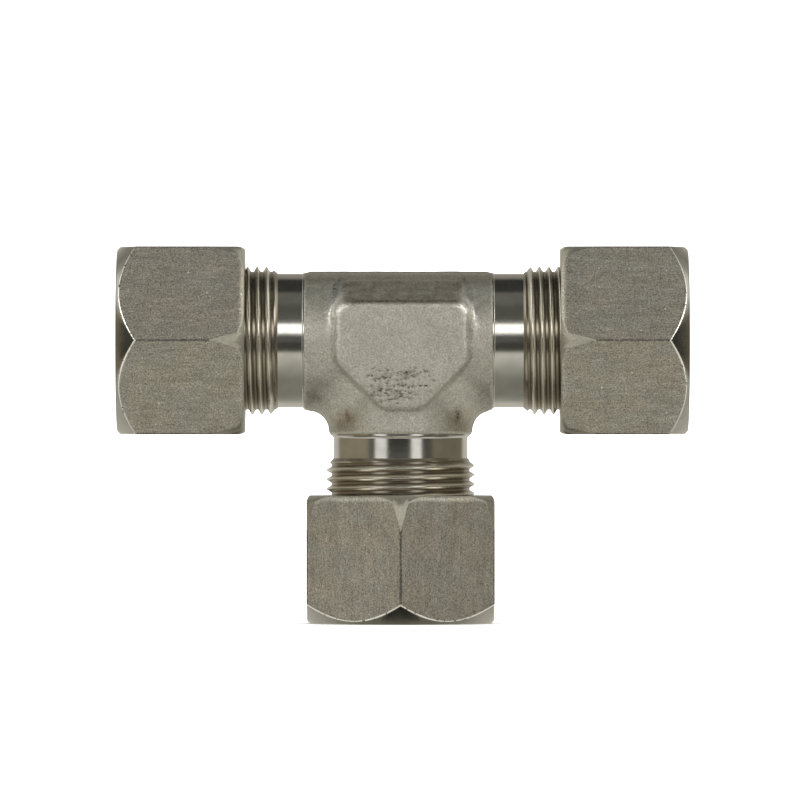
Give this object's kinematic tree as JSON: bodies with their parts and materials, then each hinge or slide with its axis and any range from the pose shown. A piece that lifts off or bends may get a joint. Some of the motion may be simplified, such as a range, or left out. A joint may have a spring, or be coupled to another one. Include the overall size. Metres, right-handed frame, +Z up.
{
  "type": "compression fitting",
  "caption": "Equal tee compression fitting: forged steel body with threaded ends, hexagon nuts that screw on and cutting rings that grip the tubes.",
  "frame": {"origin": "on the branch axis, at the level of the branch nut's end face, which the part stands on", "axes": "+X along the run towards the right port, +Z up along the branch axis towards the run, -Y towards the front wrench pad"},
  "size_m": [0.0914, 0.0346, 0.0602],
  "materials": {
    "forged_steel": "pickled and blasted forging, matt and finely grained",
    "turned_steel": "fine turned, bright, with circular tool marks",
    "nut_steel": "drawn hexagon bar, satin and lightly mottled, with bright turned chamfers"
  },
  "bodies": {
    "tee": {"tee_body": "forged_steel"},
    "left_ring": {"ring_left": "turned_steel"},
    "left_nut": {"nut_left": "nut_steel"},
    "right_ring": {"ring_right": "turned_steel"},
    "right_nut": {"nut_right": "nut_steel"},
    "branch_ring": {"ring_branch": "turned_steel"},
    "branch_nut": {"nut_branch": "nut_steel"}
  },
  "joints": [
    {"name": "left_nut_travel", "type": "slide", "parent": "tee", "child": "left_ring", "axis": [-1, 0, 0], "range_m": [-0.00013, 0.00888]},
    {"name": "left_nut_turn", "type": "hinge", "parent": "left_ring", "child": "left_nut", "pos_m": [-0.035, 0, 0.04525], "axis": [-1, 0, 0], "range_deg": [-30, 2130]},
    {"name": "right_nut_travel", "type": "slide", "parent": "tee", "child": "right_ring", "axis": [1, 0, 0], "range_m": [-0.00076, 0.00826]},
    {"name": "right_nut_turn", "type": "hinge", "parent": "right_ring", "child": "right_nut", "pos_m": [0.035, 0, 0.04525], "axis": [1, 0, 0], "range_deg": [-180, 1980]},
    {"name": "branch_nut_travel", "type": "slide", "parent": "tee", "child": "branch_ring", "axis": [0, 0, -1], "range_m": [0, 0.00901]},
    {"name": "branch_nut_turn", "type": "hinge", "parent": "branch_ring", "child": "branch_nut", "pos_m": [0, 0, 0.01], "axis": [0, 0, -1], "range_deg": [0, 2160]}
  ],
  "couplings": [
    {"joint": "left_nut_travel", "follows": "left_nut_turn", "m_per_rad": 0.00023873},
    {"joint": "right_nut_travel", "follows": "right_nut_turn", "m_per_rad": 0.00023873},
    {"joint": "branch_nut_travel", "follows": "branch_nut_turn", "m_per_rad": 0.00023873}
  ]
}
